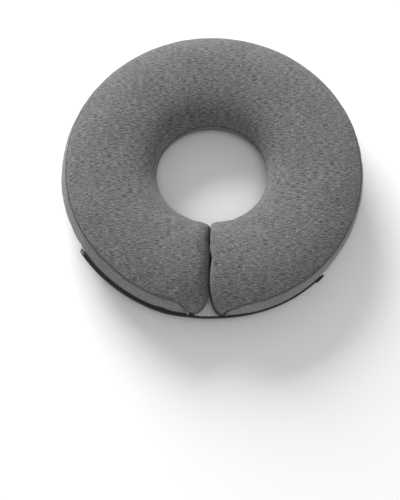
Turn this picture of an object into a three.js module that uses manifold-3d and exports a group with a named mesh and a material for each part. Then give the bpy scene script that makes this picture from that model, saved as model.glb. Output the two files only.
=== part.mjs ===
// Inflatable recovery collar: an air-filled ring in a knitted cover, closed across its slit by a strap.
// Millimetres, +Z up. The collar lies on its back with its front face up. Its slit points along -Y,
// and the origin is on the floor, under the middle of the neck opening.

import * as THREE from "three";
import { mergeVertices } from "three/addons/utils/BufferGeometryUtils.js";
import Module from "manifold-3d";

const wasm = await Module();
wasm.setup();

// Ring
const OUTER_DIAMETER = 300;
const NECK_DIAMETER = 110;
const FRONT_RISE = 32; // crown of the front face above the middle plane
const REST_DEPTH = 32; // the back where it lies flat, below the middle plane
const BACK_BULGE = 34; // how deep the back would swell with no floor under it

// Cover
const CLOTH = 2;
const SEAM_GAP = 0.3;
const SEAM_CREASE = 0.8; // how far a gusset seam sinks into the cover
const FRONT_SEAM_HEIGHT = 22; // front seam above the middle plane
const FRONT_SEAM_INSET = 5.5; // deepest inset of the front seam from the outer diameter
const BACK_SEAM_DEPTH = 26;
const BACK_SEAM_INSET = 12;
const FULLEST_HEIGHT = 4; // where the rim is at its outer diameter, above the middle plane

// Slit and the two ends of the ring
const SLIT_GAP = 1;
const OUTER_CORNER_ALONG = 26; // round outer corner of an end, measured along the slit
const OUTER_CORNER_ACROSS = 15;
const NECK_CORNER = 5;
const END_DRAW_IN = 1.2; // how much smaller the ring is at its ends than along its rim
const GUSSET_TAPER = 13; // length over which the gusset narrows to its tip

// Air chamber
const BLADDER_WALL = 1;
const BLADDER_CLEARANCE = 1.3;

// Valve
const VALVE_DIAMETER = 16;
const VALVE_FLANGE_DIAMETER = 26;
const VALVE_FLANGE = 2.5;
const VALVE_CAP_DIAMETER = 14;
const VALVE_CAP = 2;
const VALVE_DEPTH = 12; // from the cover into the air chamber
const VALVE_HEIGHT = -8; // the valve's middle, from the middle plane
const VALVE_CLEARANCE = 0.3;

// Straps
const STRAP_WIDTH = 25;
const STRAP_THICKNESS = 1.6;
const LOOP_THICKNESS = 2;
const STRAP_CLEARANCE = 0.3;
const LOOP_START = 7; // degrees from the slit, on the left
const LOOP_END = 59.8;
const HOOK_FREE_END = 59.6;
const HOOK_SEWN_END = 47; // degrees from the slit, on the right
const HOOK_FOLD = 12; // length of the doubled, sewn end
const HOOK_FOLD_THICKNESS = 2.8;
const HOOK_LIFT = 2.5; // how far the free end stands off
const HOOK_LIFT_LENGTH = 7;

// How round the surfaces are. An exponent of 1 in a quarter curve is an ellipse, and less is fuller.
const NECK_ROLL_FULLNESS = 0.83;
const FACE_DOME = 2.4; // power of the fall from the crown to the front seam
const FRONT_END_FULLNESS = 0.8;
const BACK_END_FULLNESS = 1.1;
const END_ROLL_POWER = 3.5;
const RIM_POWER_ABOVE = 2.2;
const RIM_POWER_BELOW = 1.6;
const TAPER_POWER = 0.75;
const MITRE_LIMIT = 0.7; // keeps a mitre from running out to a spike

// The two ends differ: the right one is blunter, and its gusset runs closer to the slit.
const RIGHT_END = { side: 1, roll: 10, gussetTip: 13 };
const LEFT_END = { side: -1, roll: 22, gussetTip: 18 };

// Inset of the front seam round the ring, as shares of FRONT_SEAM_INSET. Degrees run from the slit
// through the right side, the top and the left side back to the slit.
const SEAM_INSET_ROUND = [
  { turn: 0, share: 0.6 },
  { turn: 90, share: 0.54 },
  { turn: 180, share: 0.6 },
  { turn: 270, share: 1 },
  { turn: 315, share: 1 },
  { turn: 345, share: 0.7 },
  { turn: 360, share: 0.6 },
];

// Mesh steps
const END_REACH = 45; // the ends are measured out in their own steps up to here
const END_STEPS = [0, 0.01, 0.036, 0.076, 0.133, 0.21, 0.31, 0.42, 0.56, 0.76, 1];
const TIP_STEP = 0.6; // the gusset starts this far past its tip
const LEAST_STEP = 1.5;
const RING_STEP = 8; // degrees
const NECK_SHARES = [0, 0.2, 0.4, 0.6, 0.8];
const FACE_SHARES = [0, 0.28, 0.55, 0.77, 0.92, 1];
const GUSSET_SHARES = [0, 0.16, 0.42, 0.7, 1];
const STRAP_STEP = 4;
const STRAP_SHARES = [0, 0.5, 1];
const SLOPE_STEP = 0.5; // half the height over which the rim's slope is measured
const VALVE_SIDES = 32;

const OUTER_RADIUS = OUTER_DIAMETER / 2;
const NECK_RADIUS = NECK_DIAMETER / 2;
const MIDDLE_RADIUS = (OUTER_RADIUS + NECK_RADIUS) / 2;
const SQUARE_REACH = Math.asin(END_REACH / MIDDLE_RADIUS); // past this angle the sections are radial
const STRAP_LEAN = Math.atan(BACK_SEAM_INSET / (FULLEST_HEIGHT + BACK_SEAM_DEPTH));

const lerp = THREE.MathUtils.lerp;
const radians = THREE.MathUtils.degToRad;

function smoothShare(value, from, to) {
  return THREE.MathUtils.smoothstep(value, from, to);
}

// Value of a quarter superellipse at a share of its run, 0 at the start and 1 at the end.
function quarterCurve(distance, reach, power) {
  const left = 1 - Math.min(1, distance / reach);
  return (1 - left ** power) ** (1 / power);
}

// How far a round corner draws an edge back, at a distance from the slit.
function cornerInset(distance, across, along) {
  return along * (1 - quarterCurve(distance, across, 2));
}

function seamInset(turn) {
  const next = SEAM_INSET_ROUND.findIndex((row) => row.turn >= turn);
  const high = SEAM_INSET_ROUND[Math.max(1, next)];
  const low = SEAM_INSET_ROUND[Math.max(1, next) - 1];
  return FRONT_SEAM_INSET * lerp(low.share, high.share, smoothShare(turn, low.turn, high.turn));
}

// Everything that a section of the ring needs to know about its place.
// away is the angle to the slit, and lateral the distance from it at the ring's middle radius.
function makeStation(end, away) {
  const lateral = away < Math.PI / 2 ? MIDDLE_RADIUS * Math.sin(away) : MIDDLE_RADIUS;
  const pastTip = Math.max(0, lateral - end.gussetTip);
  const gusset = Math.min(1, pastTip / GUSSET_TAPER) ** TAPER_POWER;
  const drawIn = END_DRAW_IN * (1 - gusset);
  const turn = THREE.MathUtils.radToDeg(end.side > 0 ? away : 2 * Math.PI - away);
  return {
    side: end.side,
    away,
    lateral,
    gusset,
    radial: smoothShare(away, 0, SQUARE_REACH),
    inner: NECK_RADIUS + cornerInset(lateral, NECK_CORNER, NECK_CORNER),
    outer: OUTER_RADIUS - drawIn - cornerInset(lateral, OUTER_CORNER_ACROSS, OUTER_CORNER_ALONG),
    swell: quarterCurve(lateral, end.roll, END_ROLL_POWER),
    seamInset: seamInset(turn),
  };
}

function endDistances(end) {
  const tip = [end.gussetTip, end.gussetTip + TIP_STEP];
  const steps = END_STEPS.map((share) => share * END_REACH);
  const clear = steps.filter((step) => tip.every((place) => Math.abs(step - place) > LEAST_STEP));
  return [...clear, ...tip].sort((a, b) => a - b);
}

// Sections from the slit's right edge round the ring to its left edge.
function makeStations() {
  const angles = (end) => endDistances(end).map((step) => Math.asin(step / MIDDLE_RADIUS));
  const free = 2 * Math.PI - 2 * SQUARE_REACH;
  const count = Math.round(free / radians(RING_STEP));
  const ring = [];
  for (let k = 1; k < count; k += 1) {
    const turn = SQUARE_REACH + (free * k) / count;
    const end = turn <= Math.PI ? RIGHT_END : LEFT_END;
    ring.push(makeStation(end, turn <= Math.PI ? turn : 2 * Math.PI - turn));
  }
  return [
    ...angles(RIGHT_END).map((away) => makeStation(RIGHT_END, away)),
    ...ring,
    ...angles(LEFT_END).reverse().map((away) => makeStation(LEFT_END, away)),
  ];
}

// Place of a point of a section. Near the slit the sections run parallel to it.
function place(station, radius, height) {
  const parallel = Math.asin(Math.min(1, station.lateral / radius));
  const swing = lerp(parallel, station.away, station.radial);
  const shift = (SLIT_GAP / 2) * (1 - station.radial);
  return new THREE.Vector3(
    station.side * (radius * Math.sin(swing) + shift),
    -radius * Math.cos(swing),
    REST_DEPTH + height,
  );
}

// Inset of the rim from the outer diameter at a height above the middle plane.
function rimInset(station, height) {
  if (height > FULLEST_HEIGHT) {
    const share = (height - FULLEST_HEIGHT) / (FRONT_SEAM_HEIGHT - FULLEST_HEIGHT);
    return station.seamInset * share ** RIM_POWER_ABOVE;
  }
  const share = (FULLEST_HEIGHT - height) / (FULLEST_HEIGHT + BACK_SEAM_DEPTH);
  return BACK_SEAM_INSET * share ** RIM_POWER_BELOW;
}

// How far the rim leans out from upright at a height.
function rimLean(station, height) {
  const drop = rimInset(station, height - SLOPE_STEP) - rimInset(station, height + SLOPE_STEP);
  return Math.atan2(drop, 2 * SLOPE_STEP);
}

// Roll from the neck seam at the middle plane up, or down, to the crown.
function neckPoint(station, share, depth) {
  const turn = (share * Math.PI) / 2;
  const halfWidth = (station.outer - station.inner) / 2;
  const radius = station.inner + halfWidth * (1 - Math.cos(turn) ** NECK_ROLL_FULLNESS);
  return [radius, depth * station.swell * Math.sin(turn) ** NECK_ROLL_FULLNESS];
}

// Dome from the crown to a gusset seam. Where the gusset has ended, it closes at the middle plane.
function facePoint(station, share, depth, seamHeight, inset, fullness) {
  const halfWidth = (station.outer - station.inner) / 2;
  const crown = (station.outer + station.inner) / 2;
  const turn = (share * Math.PI) / 2;
  const height = depth * station.swell;
  const closed = [halfWidth * Math.sin(turn), height * Math.max(0, Math.cos(turn)) ** fullness];
  const seamed = [share * (halfWidth - inset), height - (height - seamHeight) * share ** FACE_DOME];
  return [
    crown + lerp(closed[0], seamed[0], station.gusset),
    share === 1 ? seamHeight * station.gusset : lerp(closed[1], seamed[1], station.gusset),
  ];
}

function frontRow(station) {
  const roll = NECK_SHARES.map((share) => neckPoint(station, share, FRONT_RISE));
  const face = FACE_SHARES.map((share) =>
    facePoint(station, share, FRONT_RISE, FRONT_SEAM_HEIGHT, station.seamInset, FRONT_END_FULLNESS),
  );
  return [...roll, ...face].map(([radius, height]) => place(station, radius, height));
}

// The back swells less far than it would in the air, because it lies on the floor.
function backRow(station) {
  const roll = NECK_SHARES.map((share) => neckPoint(station, share, -BACK_BULGE));
  const face = FACE_SHARES.map((share) =>
    facePoint(station, share, -BACK_BULGE, -BACK_SEAM_DEPTH, BACK_SEAM_INSET, BACK_END_FULLNESS),
  );
  return [...roll, ...face].map(([radius, height]) =>
    place(station, radius, Math.max(height, -REST_DEPTH)),
  );
}

function gussetRow(station) {
  return GUSSET_SHARES.map((share) => {
    const height = lerp(FRONT_SEAM_HEIGHT, -BACK_SEAM_DEPTH, share);
    const radius = station.outer - rimInset(station, height) * station.gusset;
    return place(station, radius, height * station.gusset);
  });
}

// Normals of a grid of points, as sums over its quads. Collapsed quads add nothing.
function gridNormals(grid, flip) {
  const normals = grid.map((row) => row.map(() => new THREE.Vector3()));
  for (let i = 0; i + 1 < grid.length; i += 1) {
    for (let j = 0; j + 1 < grid[i].length; j += 1) {
      const across = grid[i + 1][j + 1].clone().sub(grid[i][j]);
      const along = grid[i][j + 1].clone().sub(grid[i + 1][j]);
      const normal = along.cross(across).multiplyScalar(flip);
      for (const [a, b] of [[i, j], [i + 1, j], [i, j + 1], [i + 1, j + 1]]) {
        normals[a][b].add(normal);
      }
    }
  }
  return normals.map((row) => row.map((normal) => normal.normalize()));
}

const keyOf = (point) => point.toArray().map((value) => value.toFixed(4)).join(" ");

// Panels that share a seam share its offset, so that their walls meet in a mitre.
function weldOffsets(panels) {
  const shared = new Map();
  for (const panel of panels) {
    const normals = gridNormals(panel.grid, panel.flip);
    panel.grid.forEach((row, i) => row.forEach((point, j) => {
      const key = keyOf(point);
      if (!shared.has(key)) shared.set(key, []);
      if (normals[i][j].length() > 0) shared.get(key).push(normals[i][j]);
    }));
  }
  const offsets = new Map();
  for (const [key, normals] of shared) {
    const mean = normals.reduce((sum, normal) => sum.add(normal), new THREE.Vector3()).normalize();
    const mitre = Math.min(...normals.map((normal) => mean.dot(normal)));
    offsets.set(key, mean.divideScalar(Math.max(MITRE_LIMIT, mitre)));
  }
  for (const panel of panels) {
    panel.offsets = panel.grid.map((row) => row.map((point) => offsets.get(keyOf(point))));
  }
}

// The cover's outer surface as three grids, one for each panel, with the gusset seams sunk a little.
function makeCover() {
  const stations = makeStations();
  const front = { grid: stations.map(frontRow), flip: 1 };
  const gusset = { grid: stations.map(gussetRow), flip: 1 };
  const back = { grid: stations.map(backRow), flip: -1 };
  weldOffsets([front, gusset, back]);
  const last = (panel, i) => [panel.grid[i].at(-1), panel.offsets[i].at(-1)];
  stations.forEach((station, i) => {
    if (station.gusset === 0) return;
    const sink = SEAM_CREASE * station.gusset;
    const seams = [last(front, i), last(back, i)];
    const edges = [gusset.grid[i][0], gusset.grid[i].at(-1)];
    seams.forEach(([point, offset], k) => {
      point.addScaledVector(offset, -sink);
      edges[k].copy(point);
    });
  });
  weldOffsets([front, gusset, back]);
  return { stations, front, gusset, back };
}

// A panel's grid at a depth under its outer surface.
function sunkGrid(panel, depth) {
  return panel.grid.map((row, i) =>
    row.map((point, j) => point.clone().addScaledVector(panel.offsets[i][j], -depth)),
  );
}

function stepTowards(point, target, distance) {
  return point.clone().add(target.clone().sub(point).setLength(distance));
}

// A grid whose border is drawn in by half the seam gap.
function trimmedGrid(grid) {
  const half = SEAM_GAP / 2;
  const rows = grid.length;
  const columns = grid[0].length;
  return grid.map((row, i) => row.map((point, j) => {
    let moved = point.clone();
    if (i === 0) moved = stepTowards(moved, grid[1][j], half);
    if (i === rows - 1) moved = stepTowards(moved, grid[rows - 2][j], half);
    if (j === 0) moved = stepTowards(moved, grid[i][1], half);
    if (j === columns - 1) moved = stepTowards(moved, grid[i][columns - 2], half);
    return moved;
  }));
}

// Collects quads of points and gives a closed solid back, with its faces pointing out.
function solidFromQuads(quads) {
  const positions = [];
  const push = (...corners) => {
    if (new Set(corners.map(keyOf)).size < 3) return;
    corners.forEach((corner) => positions.push(...corner));
  };
  for (const [a, b, c, d] of quads) {
    push(a, b, c);
    push(a, c, d);
  }
  const loose = new THREE.BufferGeometry();
  loose.setAttribute("position", new THREE.Float32BufferAttribute(positions, 3));
  const merged = mergeVertices(loose, 1e-4);
  const index = Array.from(merged.index.array);
  const vertex = (k) => new THREE.Vector3().fromBufferAttribute(merged.attributes.position, k);
  let volume = 0;
  for (let k = 0; k < index.length; k += 3) {
    volume += vertex(index[k]).dot(vertex(index[k + 1]).cross(vertex(index[k + 2])));
  }
  if (volume < 0) index.reverse();
  return new wasm.Manifold(new wasm.Mesh({
    numProp: 3,
    vertProperties: merged.attributes.position.array,
    triVerts: new Uint32Array(index),
  }));
}

function gridQuads(grid, turned) {
  const quads = [];
  for (let i = 0; i + 1 < grid.length; i += 1) {
    for (let j = 0; j + 1 < grid[i].length; j += 1) {
      const quad = [grid[i][j], grid[i + 1][j], grid[i + 1][j + 1], grid[i][j + 1]];
      quads.push(turned ? quad.reverse() : quad);
    }
  }
  return quads;
}

// Walls that join the borders of an outer and an inner grid.
function borderQuads(outer, inner) {
  const rows = outer.length - 1;
  const columns = outer[0].length - 1;
  const border = [];
  for (let i = 0; i < rows; i += 1) border.push([i, 0]);
  for (let j = 0; j < columns; j += 1) border.push([rows, j]);
  for (let i = rows; i > 0; i -= 1) border.push([i, columns]);
  for (let j = columns; j > 0; j -= 1) border.push([0, j]);
  return border.map(([i, j], k) => {
    const [m, n] = border[(k + 1) % border.length];
    return [outer[i][j], inner[i][j], inner[m][n], outer[m][n]];
  });
}

function shellSolid(outer, inner) {
  return solidFromQuads([...gridQuads(outer), ...gridQuads(inner, true), ...borderQuads(outer, inner)]);
}

function clothPanel(panel, keep = () => true) {
  const pick = (grid) => trimmedGrid(grid.filter((row, i) => keep(i)));
  return shellSolid(pick(panel.grid), pick(sunkGrid(panel, CLOTH)));
}

// Cylinder that stands square on the rim, opposite the slit. from and to count from the cover.
function valveCylinder(diameter, from, to) {
  const station = makeStation(RIGHT_END, Math.PI);
  const geometry = new THREE.CylinderGeometry(diameter / 2, diameter / 2, to - from, VALVE_SIDES);
  geometry.translate(0, (from + to) / 2, 0);
  geometry.rotateX(-rimLean(station, VALVE_HEIGHT));
  geometry.translate(0, OUTER_RADIUS - rimInset(station, VALVE_HEIGHT), REST_DEPTH + VALVE_HEIGHT);
  return solidFromGeometry(geometry);
}

function solidFromGeometry(geometry) {
  geometry.deleteAttribute("normal");
  geometry.deleteAttribute("uv");
  const merged = mergeVertices(geometry, 1e-4);
  return new wasm.Manifold(new wasm.Mesh({
    numProp: 3,
    vertProperties: merged.attributes.position.array,
    triVerts: new Uint32Array(merged.index.array),
  }));
}

function valveHole() {
  const diameter = VALVE_DIAMETER + 2 * VALVE_CLEARANCE;
  return valveCylinder(diameter, -VALVE_DEPTH, VALVE_FLANGE);
}

function makeValve() {
  const seat = VALVE_CLEARANCE;
  const top = seat + VALVE_FLANGE;
  return valveCylinder(VALVE_DIAMETER, -VALVE_DEPTH, seat)
    .add(valveCylinder(VALVE_FLANGE_DIAMETER, seat, top))
    .add(valveCylinder(VALVE_CAP_DIAMETER, top, top + VALVE_CAP));
}

function makeGusset(cover) {
  const present = cover.stations.map((station) => station.gusset > 0);
  return clothPanel(cover.gusset, (i) => present[i]).subtract(valveHole());
}

// One closed surface of the air chamber: every second row of the three grids, at a depth.
function chamberSurface(cover, depth) {
  const [front, gusset, back] = [cover.front, cover.gusset, cover.back].map((p) => sunkGrid(p, depth));
  const second = (row) => row.filter((point, j) => j % 2 === 0);
  const loops = front.map((row, i) => [
    ...second(row),
    ...second(gusset[i]).slice(1, -1),
    ...second(back[i]).reverse(),
  ]);
  return solidFromQuads(gridQuads(loops));
}

function makeBladder(cover) {
  const depth = CLOTH + BLADDER_CLEARANCE;
  const outer = chamberSurface(cover, depth);
  return outer.subtract(chamberSurface(cover, depth + BLADDER_WALL)).subtract(valveHole());
}

// Point at a share of the strap's width on the rim, standing off the cover.
// turn is in degrees from the slit, with the right side positive.
function strapPoint(turn, share, standOff) {
  const station = makeStation(turn < 0 ? LEFT_END : RIGHT_END, radians(Math.abs(turn)));
  const height = -share * STRAP_WIDTH * Math.cos(STRAP_LEAN);
  const lean = rimLean(station, height);
  const radius = OUTER_RADIUS - rimInset(station, height) + standOff * Math.cos(lean);
  const angle = radians(turn);
  return new THREE.Vector3(
    radius * Math.sin(angle),
    -radius * Math.cos(angle),
    REST_DEPTH + height - standOff * Math.sin(lean),
  );
}

// A band round the rim. bottom and top give how far its two faces stand off at an angle.
function makeBand(from, to, bottom, top) {
  const count = Math.ceil((to - from) / STRAP_STEP);
  const turns = Array.from({ length: count + 1 }, (_, k) => lerp(from, to, k / count));
  const face = (standOff) =>
    turns.map((turn) => STRAP_SHARES.map((share) => strapPoint(turn, share, standOff(turn))));
  return shellSolid(face(top), face(bottom));
}

function makeLoopStrip() {
  const seat = STRAP_CLEARANCE;
  return makeBand(-LOOP_END, -LOOP_START, () => seat, () => seat + LOOP_THICKNESS);
}

// The strap lies on the loop strip on the left, and on the cover on the right.
function hookSeat(turn) {
  const overLoop = STRAP_CLEARANCE + LOOP_THICKNESS + STRAP_CLEARANCE;
  const down = lerp(overLoop, STRAP_CLEARANCE, smoothShare(turn, -LOOP_START, LOOP_START));
  const lifted = radians(turn + HOOK_FREE_END) * OUTER_RADIUS;
  return down + HOOK_LIFT * (1 - smoothShare(lifted, 0, HOOK_LIFT_LENGTH));
}

function hookThickness(turn) {
  const fromSewnEnd = radians(HOOK_SEWN_END - turn) * OUTER_RADIUS;
  return fromSewnEnd < HOOK_FOLD ? HOOK_FOLD_THICKNESS : STRAP_THICKNESS;
}

function makeHookStrap() {
  return makeBand(-HOOK_FREE_END, HOOK_SEWN_END, hookSeat, (turn) => hookSeat(turn) + hookThickness(turn));
}

const knit = { color: 0x74757a, roughness: 0.95, metalness: 0 };
const webbing = { color: 0x141416, roughness: 0.85, metalness: 0 };
const vinyl = { color: 0xd5dadd, roughness: 0.35, metalness: 0 };
const valvePlastic = { color: 0xe6e8ea, roughness: 0.45, metalness: 0 };

function toMesh(name, solid, look) {
  const { vertProperties, triVerts, numProp } = solid.getMesh();
  const position = [];
  for (let k = 0; k < vertProperties.length; k += numProp) {
    position.push(vertProperties[k], vertProperties[k + 1], vertProperties[k + 2]);
  }
  const geometry = new THREE.BufferGeometry();
  geometry.setAttribute("position", new THREE.Float32BufferAttribute(position, 3));
  geometry.setIndex(Array.from(triVerts));
  geometry.computeVertexNormals();
  const mesh = new THREE.Mesh(geometry, new THREE.MeshStandardMaterial(look));
  mesh.name = name;
  return mesh;
}

function makeCollar() {
  const cover = makeCover();
  const collar = new THREE.Group();
  collar.add(
    toMesh("front_panel", clothPanel(cover.front), knit),
    toMesh("back_panel", clothPanel(cover.back), knit),
    toMesh("side_gusset", makeGusset(cover), knit),
    toMesh("air_bladder", makeBladder(cover), vinyl),
    toMesh("inflation_valve", makeValve(), valvePlastic),
    toMesh("loop_strip", makeLoopStrip(), webbing),
    toMesh("hook_strap", makeHookStrap(), webbing),
  );
  return collar;
}

export default makeCollar();
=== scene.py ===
# %% [markdown]
# # Inflatable recovery collar
# An inflatable recovery collar is an air-filled ring in a knitted cover. It closes round a neck, and a
# strap holds its slit shut. In this lesson the collar lies on its back, and the camera looks down on
# its front face. We load the fixed model first, because every soft piece has to sit where its solid is.

import math
from functools import partial
from types import SimpleNamespace

import bmesh
import bpy
from mathutils import Matrix, Vector, noise


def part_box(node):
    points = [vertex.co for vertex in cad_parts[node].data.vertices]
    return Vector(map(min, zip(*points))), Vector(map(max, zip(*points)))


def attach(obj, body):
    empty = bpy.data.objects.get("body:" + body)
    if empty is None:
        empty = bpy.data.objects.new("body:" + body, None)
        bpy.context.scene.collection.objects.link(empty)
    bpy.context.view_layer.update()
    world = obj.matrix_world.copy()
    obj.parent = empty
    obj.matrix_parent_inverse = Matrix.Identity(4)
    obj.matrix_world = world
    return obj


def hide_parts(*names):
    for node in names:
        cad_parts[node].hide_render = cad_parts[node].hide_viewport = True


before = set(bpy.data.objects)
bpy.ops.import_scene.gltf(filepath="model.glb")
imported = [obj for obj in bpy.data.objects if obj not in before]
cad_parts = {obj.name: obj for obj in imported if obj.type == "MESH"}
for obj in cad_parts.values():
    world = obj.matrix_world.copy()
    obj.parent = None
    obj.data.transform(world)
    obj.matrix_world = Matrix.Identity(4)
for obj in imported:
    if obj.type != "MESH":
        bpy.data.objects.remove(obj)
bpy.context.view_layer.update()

# %% [markdown]
# ## Sizes
# The solids give the main sizes: how wide the rim is, where the middle plane lies and how far the two
# faces stand from it. What a box can't tell, such as the neck's radius, is a named size here. The two
# ends at the slit differ: the left one is rounder, and the gusset stops further from the slit there.

# %% Sizes of the ring, in metres
front_low, front_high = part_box("front_panel")
back_low, back_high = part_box("back_panel")
gusset_low, gusset_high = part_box("side_gusset")

OUTER_RADIUS = (gusset_high.x - gusset_low.x) / 2
NECK_RADIUS = 0.055
MIDDLE_RADIUS = (OUTER_RADIUS + NECK_RADIUS) / 2
MIDDLE_HEIGHT = (front_low.z + back_high.z) / 2
FRONT_RISE = front_high.z - MIDDLE_HEIGHT
REST_DEPTH = MIDDLE_HEIGHT - back_low.z
BACK_BULGE = REST_DEPTH + 0.002  # with no floor under it
FRONT_SEAM_HEIGHT = 0.022
FRONT_SEAM_INSET = 0.0055
BACK_SEAM_DEPTH = 0.026
BACK_SEAM_INSET = 0.012
FULLEST_HEIGHT = 0.004
CLOTH = 0.0016

SLIT_GAP = 0.0009
OUTER_CORNER_ALONG = 0.026
OUTER_CORNER_ACROSS = 0.015
NECK_CORNER = 0.005
END_REACH = 0.045
RIGHT_END = SimpleNamespace(side=1, roll=0.010, tip=0.013, taper=0.013, corner_power=2)
LEFT_END = SimpleNamespace(side=-1, roll=0.022, tip=0.017, taper=0.008, corner_power=1.7)

NECK_ROLL_FULLNESS = 0.83
FACE_DOME = 2.4
FRONT_END_FULLNESS = 0.8
BACK_END_FULLNESS = 1.0
END_ROLL_POWER = 3.5
RIM_POWER = 2.2
TAPER_POWER = 0.55
SEAM_INSET_ROUND = (  # (degrees from the slit, share of FRONT_SEAM_INSET)
    (0, 0.15), (60, 0.15), (100, 0.5), (180, 0.6), (270, 1), (315, 0.9), (340, 0.45), (360, 0.3),
)
# Stretches of the rim, in degrees from the slit: a fuller one, and one that the closed strap pulls in.
FULLER = SimpleNamespace(by=0.0015, start=0, peak=32, end=68)
PULLED_IN = SimpleNamespace(by=-0.0006, start=-17, peak=-5, end=7)

FULL_TURN = 2 * math.pi
SQUARE_REACH = math.asin(END_REACH / MIDDLE_RADIUS)
print("outer radius", round(OUTER_RADIUS, 4), "rise", round(FRONT_RISE, 4), "depth", round(REST_DEPTH, 4))

# %% [markdown]
# ## Helpers
# A few small functions are shared by all the pieces. A piece's mesh is made in a bmesh, and its object
# stays at the origin, so that its place is in its mesh.

# %% Small helpers
def mix(low, high, share):
    return low + (high - low) * share


def smooth_share(value, low, high):
    share = max(0.0, min(1.0, (value - low) / (high - low)))
    return share * share * (3 - 2 * share)


def quarter_curve(distance, reach, power):
    left = 1 - min(1.0, distance / reach)
    return (1 - left ** power) ** (1 / power)


def make_mesh(bm, name):
    mesh = bpy.data.meshes.new(name)
    bm.to_mesh(mesh)
    bm.free()
    return mesh


def make_piece(bm, name):
    mesh = make_mesh(bm, name)
    mesh.shade_smooth()
    piece = bpy.data.objects.new(name, mesh)
    bpy.context.scene.collection.objects.link(piece)
    return piece


# %% [markdown]
# ## The form of the ring
# The collar's section changes most near the slit, where the ring closes in two round ends. So the form
# is a rule: for a turn round the ring and a share across a panel, it gives a point. The turn is counted
# from the slit through the right side, the top and the left side.

# %% The section at a turn
def seam_inset(turn):
    degrees = math.degrees(turn)
    for (low, low_share), (high, high_share) in zip(SEAM_INSET_ROUND, SEAM_INSET_ROUND[1:]):
        if degrees <= high:
            return FRONT_SEAM_INSET * mix(low_share, high_share, smooth_share(degrees, low, high))
    return FRONT_SEAM_INSET * SEAM_INSET_ROUND[-1][1]


def rim_radius(turn):
    """The ring isn't quite round, so its radius changes a little over some stretches of the rim."""
    degrees = (math.degrees(turn) + 180) % 360 - 180
    radius = OUTER_RADIUS
    for stretch in (FULLER, PULLED_IN):
        rise = smooth_share(degrees, stretch.start, stretch.peak)
        fall = smooth_share(degrees, stretch.peak, stretch.end)
        radius += stretch.by * (rise - fall)
    return radius


def section_at(turn):
    end = RIGHT_END if turn <= math.pi else LEFT_END
    away = max(0.0, min(turn, FULL_TURN - turn))
    lateral = MIDDLE_RADIUS * math.sin(min(away, math.pi / 2))
    gusset = min(1.0, max(0.0, lateral - end.tip) / end.taper) ** TAPER_POWER
    corner = 1 - quarter_curve(lateral, OUTER_CORNER_ACROSS, end.corner_power)
    neck_corner = 1 - quarter_curve(lateral, NECK_CORNER, 2)
    return SimpleNamespace(
        side=end.side,
        away=away,
        lateral=lateral,
        gusset=gusset,
        radial=smooth_share(away, 0, SQUARE_REACH),
        inner=NECK_RADIUS + NECK_CORNER * neck_corner,
        outer=rim_radius(turn) - OUTER_CORNER_ALONG * corner,
        swell=quarter_curve(lateral, end.roll, END_ROLL_POWER),
        seam_inset=seam_inset(turn),
    )


# %% [markdown]
# The two ends are soft and press on each other, so the slit between them isn't a flat cut. It sways a
# little from the front to the back and along its length, and nothing can be seen through it.

# %% Points of a section
SLIT_SWAY = 0.0014
SLIT_WANDER = 0.0002
SLIT_SHIFT = -0.0007  # the left end gives way more than the right one
WANDER_LENGTH = 0.007
LEAST_DOME = 0.3
AT_SEAM = 0.9999  # a run past this ends on the gusset's seam


def slit_middle(radius, height):
    """The slit's x. It sways with the depth under the face, so that its upper edge runs nearly straight."""
    half_width = (OUTER_RADIUS - NECK_RADIUS) / 2
    run = min(1.0, abs(radius - MIDDLE_RADIUS) / half_width)
    dome = FRONT_RISE * max(LEAST_DOME, math.sqrt(1 - run * run))
    sway = SLIT_SWAY * math.cos(math.pi * height / dome)
    return SLIT_SHIFT + sway + SLIT_WANDER * math.sin(radius / WANDER_LENGTH)


def place(section, radius, height):
    parallel = math.asin(min(1.0, section.lateral / radius))
    swing = mix(parallel, section.away, section.radial)
    square = 1 - section.radial
    x = section.side * (radius * math.sin(swing) + SLIT_GAP / 2 * square)
    x += slit_middle(radius, height) * square
    return Vector((x, -radius * math.cos(swing), MIDDLE_HEIGHT + height))


def rim_inset(section, height):
    if height > FULLEST_HEIGHT:
        share = (height - FULLEST_HEIGHT) / (FRONT_SEAM_HEIGHT - FULLEST_HEIGHT)
        return section.seam_inset * share ** RIM_POWER
    share = (FULLEST_HEIGHT - height) / (FULLEST_HEIGHT + BACK_SEAM_DEPTH)
    return BACK_SEAM_INSET * share ** RIM_POWER


def face_point(section, share, depth, seam_height, inset, fullness):
    """Radius and height at a share, from 0 at the neck seam through 0.5 at the crown to 1 at the gusset."""
    half_width = (section.outer - section.inner) / 2
    crown = section.inner + half_width
    height = depth * section.swell
    if share <= 0.5:
        turn = share * math.pi
        radius = section.inner + half_width * (1 - math.cos(turn) ** NECK_ROLL_FULLNESS)
        return radius, height * math.sin(turn) ** NECK_ROLL_FULLNESS
    run = 2 * share - 1
    turn = run * math.pi / 2
    closed = (half_width * math.sin(turn), height * max(0.0, math.cos(turn)) ** fullness)
    seamed = (run * (half_width - inset), height - (height - seam_height) * run ** FACE_DOME)
    radius = crown + mix(closed[0], seamed[0], section.gusset)
    if run > AT_SEAM:
        return radius, seam_height * section.gusset
    return radius, mix(closed[1], seamed[1], section.gusset)


# %% Points of the three panels
def front_point(section, share):
    radius, height = face_point(
        section, share, FRONT_RISE, FRONT_SEAM_HEIGHT, section.seam_inset, FRONT_END_FULLNESS
    )
    return place(section, radius, height)


def back_point(section, share):
    radius, height = face_point(
        section, share, -BACK_BULGE, -BACK_SEAM_DEPTH, BACK_SEAM_INSET, BACK_END_FULLNESS
    )
    return place(section, radius, max(height, -REST_DEPTH))


def gusset_point(section, share):
    height = mix(FRONT_SEAM_HEIGHT, -BACK_SEAM_DEPTH, share)
    radius = section.outer - rim_inset(section, height) * section.gusset
    return place(section, radius, height * section.gusset)


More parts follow.
